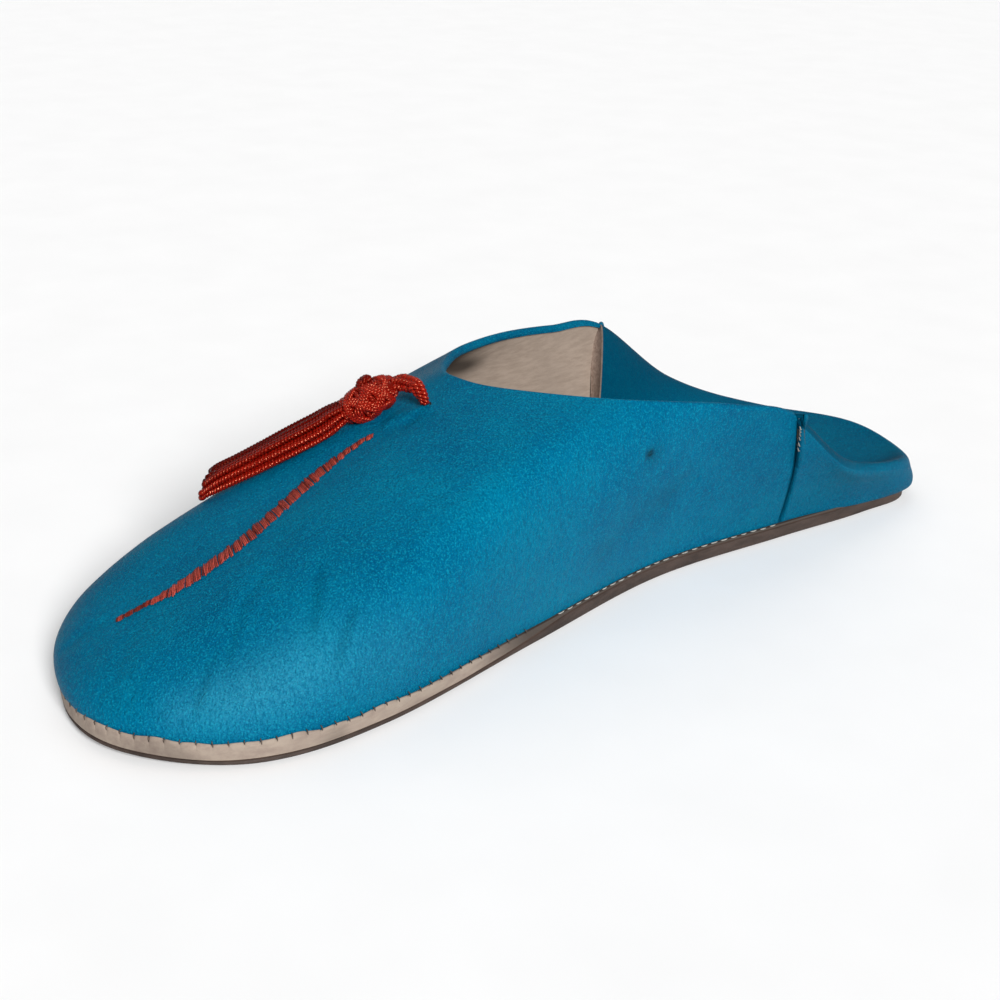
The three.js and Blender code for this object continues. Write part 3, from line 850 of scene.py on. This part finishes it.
# Painted shade on the inner face: deeper towards the toe box, in the throat and behind the flap by
# the near seam; the rim rows are set to a fixed low value
def inner_painted_shade(sheet):
    points = sheet.points
    tone = 0.5 * ease(-points[:, 1], -12, 10)
    for centre, width, strength in THROAT_SHADE:
        distance = norm((points - centre) * [1, 0.6, 1.3])
        tone += strength * bell(distance, width)
    tone[sheet.near_rim] = 0.25
    tone[(sheet.from_seam(SEAM) < 16) & sheet.folded & (sheet.climb > 0.8)] = 0.85
    return tone


# Round spots on the outer face, as a value per point
def spotted(points, spots):
    value = np.zeros(len(points))
    for (s, v), width, strength in spots:
        centre, _ = on_upper(s, v)
        value += strength * bell(norm(points - centre), width)
    return value


def build_upper():
    sheet = Sheet()
    outer = trodden(sheet, sheet.points + sheet.normals * leather_relief(sheet)[:, None])
    faces, kinds = closed_wall(sheet)
    piece = make_mesh("upper_leather", np.vstack(wall_faces(sheet, outer)), faces,
                      [BLUE, LINING, CUT_EDGE, PALE_EDGE], kinds, sharp=48)
    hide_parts("upper")
    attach(piece, "root")
    set_tone(piece, np.concatenate([outer_painted_shade(sheet), inner_painted_shade(sheet)]))
    # Spots on the outer face only: a stain, painted crease shade and painted sheen
    for name, spots in (("stain_and_crease_shade", STAINS_AND_CREASE_SHADE), ("painted_sheen", PAINTED_SHEEN)):
        values = spotted(sheet.points, spots)
        set_tone(piece, np.concatenate([values, 0 * values]), name)


# Shade inside the throat: middle, half width, strength
THROAT_SHADE = [
    ((-36.5, 3.8, 45.4), 4.0, 0.9),
    ((-36.6, 8.0, 45.6), 3.0, 0.6),
    ((-33.5, -1.5, 48.5), 4.5, 0.8),
]

# A dark stain with its halo, then painted shade along the wide crease: place and climb, half width,
# strength
STAINS_AND_CREASE_SHADE = [
    ((4.17, 0.739), 1.1, 0.95),
    ((4.24, 0.725), 3.0, 0.25),
    ((4.78, 0.43), 6.0, 0.13),
    ((4.40, 0.24), 4.5, 0.11),
]

# Painted sheen: places lightened to stand in for the key light's highlight, in the same columns
PAINTED_SHEEN = [
    ((1.36, 0.144), 5.0, 0.26),
    ((1.62, 0.175), 6.0, 0.36),
    ((1.86, 0.205), 7.0, 0.36),
    ((2.12, 0.235), 8.0, 0.31),
    ((2.40, 0.255), 9.0, 0.21),
    ((2.90, 0.200), 10.0, 0.19),
]

build_upper()


# Flat pieces on the foot line: rings of an inset and a height for each place
SOLE_PLACES = np.arange(len(RIBS) * 40) / 40
ACROSS = 16


def sole_piece(name, rings, materials, node, s=SOLE_PLACES):
    count = len(s)
    base, level = foot_point(s), outward(s)
    points = []
    for inset, height in rings:
        ring = moved(base, (-level, inset(s, base)))
        ring[:, 2] = height(s, ring)
        points.extend(ring)
    faces = ring_faces(len(rings), count)[:-2]
    kinds = [0] * len(faces)
    for start, top in ((0, False), ((len(rings) - 1) * count, True)):
        lines = [[start] * (ACROSS + 1)]
        for i in range(1, count // 2):
            a, b = start + i, start + count - i
            lines.append([a, *range(len(points), len(points) + ACROSS - 1), b])
            points += [points[a] + (points[b] - points[a]) * k / ACROSS for k in range(1, ACROSS)]
        lines.append([start + count // 2] * (ACROSS + 1))
        for one, two in zip(lines, lines[1:]):
            for k in range(ACROSS):
                face = list(dict.fromkeys([one[k], two[k], two[k + 1], one[k + 1]]))
                faces.append(face if top else face[::-1])
                kinds.append(1)
    points = np.array(points)
    piece = make_mesh(name, points, faces, materials, kinds, sharp=50)
    tone = 0.35 * ease(wobble(points, 14, 5), 0.1, 0.6)
    if node == "midsole":
        tone = np.maximum(tone, 0.97 * (1 - fore_share(points[:, 1])))
    set_tone(piece, tone)
    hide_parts(node)
    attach(piece, "root")


# How far the sole lies further in at the far toe corner
def toe_tuck(s):
    from_corner = (np.asarray(s, float) + len(RIBS) / 2) % len(RIBS) - len(RIBS) / 2 + 0.6
    return 0.7 * bell(from_corner, 0.9)


def even(value):
    return lambda s, p: value


def tucked(value, rough=0):
    return lambda s, p: value + toe_tuck(s) - rough * wobble(p, 11, 6)


def fore_share(y):
    return 1 - ease(length_share(y), 0.3, 0.4)


def joint_height(offset, uneven):
    return lambda s, p: (rand_joint(p[:, 1]) + offset
                         + uneven * wobble(p * [1, 1, 0], 16, 8) * fore_share(p[:, 1]))


def bottom_height(rise):
    return lambda s, p: sole_bottom(p[:, 1]) + rise


def insole_height(rise):
    return lambda s, p: sole_top(p[:, 1]) + GAP + rise


sole_piece("outsole_leather", [
    (tucked(0.9 - SOLE_PROUD), bottom_height(0.0)),
    (tucked(0.35 - SOLE_PROUD), bottom_height(0.22)),
    (tucked(0.08 - SOLE_PROUD, 0.05), bottom_height(0.62)),
    (tucked(-SOLE_PROUD - 0.05, 0.08), joint_height(-0.85, 0.2)),
    (tucked(-SOLE_PROUD, 0.08), joint_height(-0.35, 0.3)),
    (tucked(0.2 - SOLE_PROUD), joint_height(-GAP / 2, 0.3)),
], [SOLE_EDGE, SOLE_BASE], "outsole")

# Whip stitches round the forepart, with the rand pressed in at each
WHIP_PITCH = 3.4
WHIP_PLACES = foot_places(-3.62, 3.92, WHIP_PITCH)
RIB_STEP = 1.0 / 38


def rand_places():
    steps = np.array([-0.6, -0.35, -0.15, 0, 0.15, 0.35, 0.6]) * RIB_STEP
    near = (WHIP_PLACES[:, None] + steps).ravel() % len(RIBS)
    away = np.abs(SOLE_PLACES[:, None] - near[None, :]).min(1)
    places = np.concatenate([SOLE_PLACES[away > 0.5 * RIB_STEP], near])
    return np.unique(np.round(places, 5))


def press(s):
    s = np.where(s > 9, s - len(RIBS), s)
    away = np.abs(s[:, None] - WHIP_PLACES[None, :]).min(1) / RIB_STEP
    return bell(away, 0.30), np.minimum(away / 2, 1)


def rand_inset(value, pressed, puffed):
    def inset(s, p):
        dent, puff = press(s)
        fore = fore_share(p[:, 1])
        shaped = fore * (pressed * dent - puffed * np.sin(puff * math.pi / 2))
        return value + toe_tuck(s) - (SOLE_PROUD + 0.28 * fore) + shaped
    return inset


# How far the rand's lip stands up against the leather, most at the toe
def rand_lip(y):
    return 1.25 - 0.75 * ease(length_share(y), 0.10, 0.34)


# The rand's height at a share between its joint and the sole's top, with a lip above that
def rand_height(share, pressed, lip):
    def height(s, p):
        dent, _ = press(s)
        low = joint_height(GAP / 2, 0.3)(s, p)
        uneven = 1 + 0.75 * wobble(p * [1, 1, 0], 7, 12)
        raised = lip * uneven * rand_lip(p[:, 1]) - pressed * dent
        return low + (sole_top(p[:, 1]) - low) * share + fore_share(p[:, 1]) * raised
    return height


# Inset, press and puff of each ring's edge, then its share of the height, press and lip
RAND_RINGS = [
    (0.50, 0.00, 0.00, 0.00, 0.00, 0.00),
    (0.05, 0.00, 0.00, 0.08, 0.00, 0.00),
    (0.00, 0.00, 0.00, 0.35, 0.00, 0.00),
    (0.00, 0.00, 0.03, 0.75, 0.00, 0.00),
    (0.00, 0.05, 0.08, 0.98, 0.00, 0.20),
    (0.00, 0.22, 0.08, 1.00, 0.10, 0.72),
    (0.10, 0.30, 0.04, 1.00, 0.30, 0.98),
    (0.28, 0.20, 0.00, 1.00, 0.38, 1.08),
    (0.50, 0.00, 0.00, 1.00, 0.30, 0.90),
    (0.70, 0.00, 0.00, 1.00, 0.00, 0.00),
    (1.50, 0.00, 0.00, 1.00, 0.00, 0.00),
]
sole_piece("rand", [(rand_inset(*row[:3]), rand_height(*row[3:])) for row in RAND_RINGS],
           [RAND, RAND], "midsole", rand_places())

INSOLE_INSET = WALL + 1.5 * GAP
INSOLE_EDGE = 0.3
sole_piece("insole_leather", [
    (even(INSOLE_INSET), insole_height(0)),
    (even(INSOLE_INSET), insole_height(INSOLE_THICKNESS - INSOLE_EDGE)),
    (even(INSOLE_INSET + INSOLE_EDGE), insole_height(INSOLE_THICKNESS)),
], [LINING, LINING], "insole")


# Stitches
def whip_stitches():
    bundle = Bundle()
    for place in WHIP_PLACES:
        slant = rng.uniform(0.0, 0.35)
        fall = np.linspace(0, 1, 9)
        s = place + fall * slant * RIB_STEP
        foot, out = foot_point(s), outward(s)
        over = 0.62 * np.sin(np.minimum(fall * 2.2, 1) * math.pi / 2)
        path = moved(foot, (out, 0.16 + over - toe_tuck(s)))
        depth = rng.uniform(0.8, 1.3)
        path[:, 2] = foot[:, 2] + 0.3 + rand_lip(foot[:, 1]) - depth * fall ** 1.4
        radius = [0.08, 0.12, 0.14, 0.15, 0.15, 0.14, 0.12, 0.10, 0.06]
        bundle.add(*tube(path, radius, hint=UP), 0.3 * rng.random())
    bundle.make("whip_stitches", DARK_THREAD)


def rear_stitches():
    bundle = Bundle()
    for place in foot_places(4.15, 6.0, 3.6):
        s = place + np.linspace(-0.5, 0.5, 7) * rng.uniform(1.3, 1.8) / 33
        foot, out = foot_point(s), outward(s)
        path = moved(foot, (out, 0.24 + 0.18 * np.sin(np.linspace(0, 1, 7) * math.pi)))
        path[:, 2] = foot[:, 2] - 0.12 + 0.12 * rng.uniform(-1, 1)
        radius = [0.06, 0.13, 0.16, 0.17, 0.16, 0.13, 0.06]
        bundle.add(*tube(path, radius, hint=UP), 0.25 * rng.random())
    bundle.make("rear_stitches", PALE_THREAD)


def seam_stitches():
    bundle = Bundle()
    for seam in SEAMS:
        for k, climb in enumerate((0.975, 0.945, 0.915, 0.875, 0.82, 0.77)):
            lean = 0.45 if k % 2 else -0.45
            across = np.linspace(-0.42, 0.42, 9)
            point, normal = on_upper(seam + across / RIB_SPACING, climb + lean * across / 60)
            path = moved(point, (normal, 0.26 * np.cos(across / 0.42 * math.pi / 2) - 0.45))
            radius = [0.08, 0.13, 0.15, 0.16, 0.16, 0.16, 0.15, 0.13, 0.08]
            bundle.add(*tube(path, radius), 0.15 + 0.5 * rng.random())
    bundle.make("seam_stitches", PALE_THREAD)


# The embroidered ridge line: places and climbs, then blocks of slanted satin threads
RIDGE = [(-0.08, 0.322), (0.04, 0.378), (0.15, 0.422), (0.22, 0.467), (0.26, 0.506),
         (0.28, 0.550), (0.25, 0.594), (0.18, 0.639), (0.09, 0.683), (0.01, 0.722),
         (-0.03, 0.761), (-0.03, 0.800), (0.04, 0.822)]
BLOCK_PITCH = 2.2
BLOCK_THREADS = 5


def embroidery():
    last = len(RIDGE) - 1
    stops = np.minimum(np.linspace(0, last, last * 16 + 1), last - 1e-9)
    point, normal = on_upper(*blend_rows(np.array(RIDGE), stops, False).T)
    length = running_length(point)

    def along(rows, at):
        return np.array([np.interp(at, length, rows[:, i]) for i in range(3)])

    bundle = Bundle()
    count = int(length[-1] / BLOCK_PITCH)
    x = np.linspace(-1, 1, 9)
    radius = 0.145 + 0.05 * np.sqrt(1 - 0.9 * x ** 2)
    for block in range(count):
        middle = (block + 0.5) / count
        tapered = ease(middle, 0.08, 0.24) * (1 - 0.85 * ease(middle, 0.70, 0.97))
        width = 1.5 + 2.9 * float(tapered)
        jog = 0.12 * (1 if block % 2 else -1) * (width > 1.5)
        lean = 0.38 if width > 1.5 else 0.25
        for k in range(BLOCK_THREADS):
            at = (block + (k + 0.5) / BLOCK_THREADS * 0.93) / count * length[-1]
            p = along(point, at)
            n = unit(along(normal, at))
            forward = unit(along(point, at + 0.3) - p)
            side = np.cross(n, forward)
            bow = 1 - 0.14 * abs(k / (BLOCK_THREADS - 1) - 0.5) * 2
            ragged = 1 + 0.20 * rng.uniform(-1, 1)
            path = (p + np.outer(x * width / 2 * bow * ragged, side)
                    + np.outer(x * width / 2 * lean, forward)
                    + side * jog + np.outer(0.10 + 0.34 * np.sqrt(1 - 0.8 * x ** 2), n))
            at_side = k in (0, BLOCK_THREADS - 1)
            tone = 0.65 * rng.random() + 0.25 * at_side + 0.4 * (middle < 0.12)
            bundle.add(*tube(path, radius, hint=n + 0.01), tone)
    bundle.make("embroidery", SILK)


# Sizes of the tassel's loop, knot and skirt: lift off the leather, width and height
LOOP = np.array([7.0, 3.0, 3.0])
KNOT = np.array([3.5 + 2 * GAP, 9.0, 7.0])
SKIRT = np.array([3.1 + 2 * GAP, 10.0, 6.2])

# The tassel's route: place on the loop of ribs, climb, the part and shares of its sizes
TASSEL = [
    (18.30, 0.915, LOOP, (2 * GAP / LOOP[0], 1, 1)),
    (18.30, 0.918, LOOP, (0.46, 1, 1)),
    (18.14, 0.924, LOOP, (0.86, 1.13, 1.07)),
    (17.78, 0.916, LOOP, (1, 1.33, 1.13)),
    (17.46, 0.900, LOOP, (0.86, 1.53, 1.27)),
    (17.26, 0.874, KNOT, (1.2, 0.73, 0.74)),
    (17.16, 0.850, KNOT, (1.05, 1, 1)),
    (17.10, 0.824, KNOT, (1, 1, 1)),
    (17.06, 0.798, KNOT, (1, 0.89, 0.91)),
    (17.04, 0.769, SKIRT, (1, 0.9, 1)),
    (17.02, 0.724, SKIRT, (1, 1, 1)),
    (16.99, 0.677, SKIRT, (1, 1, 1)),
    (16.93, 0.629, SKIRT, (1, 1, 1)),
    (16.80, 0.584, SKIRT, (1, 1, 0.94)),
    (16.68, 0.552, SKIRT, (1, 0.9, 0.84)),
]
LAST_STOP = len(TASSEL) - 1
KNOT_MIDDLE, KNOT_HALF = 5.75, 2.05
SKIRT_START, SKIRT_END = 7.4, 13.65
STOP_SPACING = 5.4
LOOP_DROP = 1.9


def tassel_line():
    s, v, part, share = (np.array(column) for column in zip(*TASSEL))
    point, normal = on_upper(s, v)
    sizes = part * share
    middle = point + normal * sizes[:, :1]
    return middle, unit(np.cross(middle[-1] - middle[0], normal[len(TASSEL) // 2])), sizes


ROUTE, ROUTE_SIDE, ROUTE_SIZES = tassel_line()


def on_route(rows, t):
    return blend_rows(rows, np.clip(t, 0, LAST_STOP - 1e-6), False)


# Middle, across, raised and forward at stops t, which may run past the last one
def route_at(t):
    inside = np.clip(t, 0, LAST_STOP - 1e-6)
    forward = unit(on_route(ROUTE, inside + 0.02) - on_route(ROUTE, inside - 0.02))
    raised = unit(np.cross(ROUTE_SIDE, forward))
    across = unit(np.cross(raised, forward))
    middle = moved(on_route(ROUTE, t), (forward, np.maximum(t - LAST_STOP, 0) * STOP_SPACING))
    return middle, across, raised, forward


# Loop: two cords side by side, turning slowly round each other
def tassel_loop(bundle):
    t = np.linspace(0.0, 5.0, 90)
    middle, across, raised, _ = route_at(t)
    middle = moved(middle, (raised, -LOOP_DROP * bell(t - 2.7, 1.5)))
    width = np.interp(t, [0, 1.5, 4, 5], [0.80, 1.20, 1.50, 1.70])
    for k in range(2):
        turn = math.pi * k + 0.5 + t * 0.62
        path = moved(middle, (across, np.cos(turn) * width), (raised, np.sin(turn) * width * 0.85))
        twisted(bundle, path, 0.56, 2.1, 1.1 * k, 0.0, taper=[0.8, 1.0, 1.1, 1.15])
        path = moved(middle, (across, -np.sin(turn) * width * 0.62),
                     (raised, np.cos(turn) * width * 0.62))
        twisted(bundle, path, 0.54, 2.1, 0.4 + k, 0.15, taper=[0.7, 0.9, 1.0, 1.1])


# Skirt: rows of cords from under the knot to their loose ends, with painted shade on the far side.
# Each row has its share of the height, number of cords, tone (painted shade) and how much shorter
# it is.
SKIRT_ROWS = [(-0.36, 6, 0.05, 0), (-0.06, 6, 0.48, 0), (0.22, 5, 0.80, 0.5)]


def tassel_skirt(bundle):
    layout = [((k - (count - 1) / 2) * 0.160 + 0.03, rise, dark, cut)
              for rise, count, dark, cut in SKIRT_ROWS for k in range(count)]
    for side, rise, dark, cut in layout:
        t = np.linspace(SKIRT_START, SKIRT_END + rng.uniform(-0.6, 1.1) - cut, 44)
        middle, across, raised, _ = route_at(t)
        width, height = on_route(ROUTE_SIZES[:, 1:], t).T
        gather = 0.74 + 0.34 * ease(t, 7.2, 8.7) - 0.20 * ease(t, 9, 13)
        splay = 1 + rng.uniform(-0.1, 0.35) * ease(t, 12.0, 14.6)
        wave = rng.uniform(0, 6.28)
        drift = 0.20 * np.sin(t * rng.uniform(0.7, 1.3) + wave)
        droop = -0.9 * ease(t, 13.0, 14.8) * (0.4 + rise)
        lift = rise * height * gather + 0.12 * np.cos(t * 1.1 + wave) + droop
        path = moved(middle, (across, side * width * gather * splay + drift), (raised, lift))
        # Painted shade, deeper on the upper rows and the far side
        tone = min(0.92, max(0.0, dark - 1.1 * side) + 0.12 * rng.random())
        twisted(bundle, path, 0.43, 1.75, rng.uniform(0, 6.28), tone)
        stops = np.array([-1.0, -0.6, 0.0, 0.6, 0.85])[:, None]
        knob = path[-1] + unit(path[-1] - path[-2]) * stops
        bundle.add(*tube(knob, [0.45, 0.80, 0.88, 0.62, 0.2], 9), min(tone + 0.25, 1))


# Knot: a dense plait of parallel cords round a plain core, with a small coil on top
def tassel_knot(bundle):
    centre = route_at(np.array([KNOT_MIDDLE]))[0]

    def shell(sway, turn, grow):
        middle, side, up, _ = route_at(KNOT_MIDDLE + KNOT_HALF * sway)
        middle = moved(middle, (centre - middle, 0.10), (side, 1.1), (up, -0.7))
        fullness = np.sqrt(np.maximum(1 - (0.90 * sway) ** 2, 0.03))
        wide = 0.54 * KNOT[1] * fullness + grow
        high = 0.55 * KNOT[2] * fullness + grow
        return moved(middle, (side, np.cos(turn) * wide), (up, np.sin(turn) * high))

    sides = 24
    core = np.stack([shell(np.full(sides, sway), circle(sides), -0.55)
                     for sway in np.linspace(-1.05, 1.05, 19)])
    # The core is darker: painted shade between the plaits
    bundle.add(core.reshape(-1, 3), ring_faces(len(core), sides), 0.55)
    wraps = np.linspace(-1, 1, 420)
    twisted(bundle, shell(wraps, wraps * 8.5 * math.pi, -0.42), 0.40, 1.7, 0.0, 0.25)
    leads, bights = 5, 4
    turn = np.linspace(0, 2 * math.pi * leads, 620)
    wave = turn * bights / leads
    for offset in (-0.20, 0.0, 0.20):
        sway = 0.86 * np.sin(wave + offset)
        weave = 0.30 * np.cos(2 * wave + turn)
        twisted(bundle, shell(sway, turn, weave), 0.36, 1.6, 9 * offset, 0.02 + 0.1 * abs(offset))
    turn = np.linspace(0, 4 * math.pi, 60)
    middle, side, up, ahead = (x[0] for x in route_at(np.array([KNOT_MIDDLE - 0.45])))
    coil = moved(middle, (up, 3.5 + 0.08 * turn), (side, 0.2 + np.cos(turn) * (1.5 - 0.07 * turn)),
                 (ahead, np.sin(turn) * (1.9 - 0.08 * turn)))
    twisted(bundle, coil, 0.42, 1.7, 0.0, 0.62)


def tassel():
    bundle = Bundle()
    tassel_loop(bundle)
    tassel_skirt(bundle)
    tassel_knot(bundle)
    piece = bundle.make("tassel_cords", CORD)
    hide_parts("tassel")


# A dark ring on the leather where the loop comes out: painted shade for the hole and round it
def cord_hole_shade():
    centre, normal = on_upper(*TASSEL[0][:2])
    side = unit(np.cross(normal, np.array([0.0, 1.0, 0.2])))
    other = np.cross(normal, side)
    sides = 28
    turn = circle(sides)
    bundle = Bundle()
    rings = [(0.2, -0.02), (1.0, -0.02), (1.35, 0.03), (1.5, -0.05)]
    round_it = np.outer(np.cos(turn), side) + np.outer(np.sin(turn), other)
    points = [centre + normal * (lift + 0.05) + round_it * radius for radius, lift in rings]
    bundle.add(np.vstack(points), ring_faces(len(rings), sides)[:-1], 0.9)
    bundle.make("cord_hole_shade", DARK_THREAD)


whip_stitches()
rear_stitches()
seam_stitches()
embroidery()
tassel()
cord_hole_shade()


# Floor and light
FLOOR_HALF = 6.0


def add_stage():
    mesh = bpy.data.meshes.new("floor")
    corners = [(x * FLOOR_HALF, y * FLOOR_HALF, 0) for x, y in ((-1, -1), (1, -1), (1, 1), (-1, 1))]
    mesh.from_pydata(corners, [], [(0, 1, 2, 3)])
    shade = Shading("floor")
    paper = shade.ramp(shade.noise(30, 2.0), [(0.3, (0.86,) * 3), (0.7, (0.88,) * 3)])
    mesh.materials.append(shade.finish({"Base Color": paper, "Roughness": 0.9}))
    floor = add_object("floor", mesh)
    floor.location.z = -0.0002
    world = bpy.data.worlds.new("world")
    world.use_nodes = True
    background = world.node_tree.nodes["Background"]
    background.inputs["Color"].default_value = (1, 1, 1, 1)
    background.inputs["Strength"].default_value = 0.22
    bpy.context.scene.world = world


def add_sun(name, azimuth, elevation, strength, angle):
    back = Vector(direction(math.radians(azimuth), math.radians(elevation)))
    data = bpy.data.lights.new(name, "SUN")
    data.energy = strength
    data.angle = math.radians(angle)
    light = add_object(name, data)
    light.location = back
    light.rotation_mode = "QUATERNION"
    light.rotation_quaternion = (-back).to_track_quat("-Z", "Y")


add_stage()
add_sun("key", 74, 31, 4.7, 22)
add_sun("fill", 250, 60, 0.5, 60)
bpy.context.scene.view_settings.view_transform = "Standard"
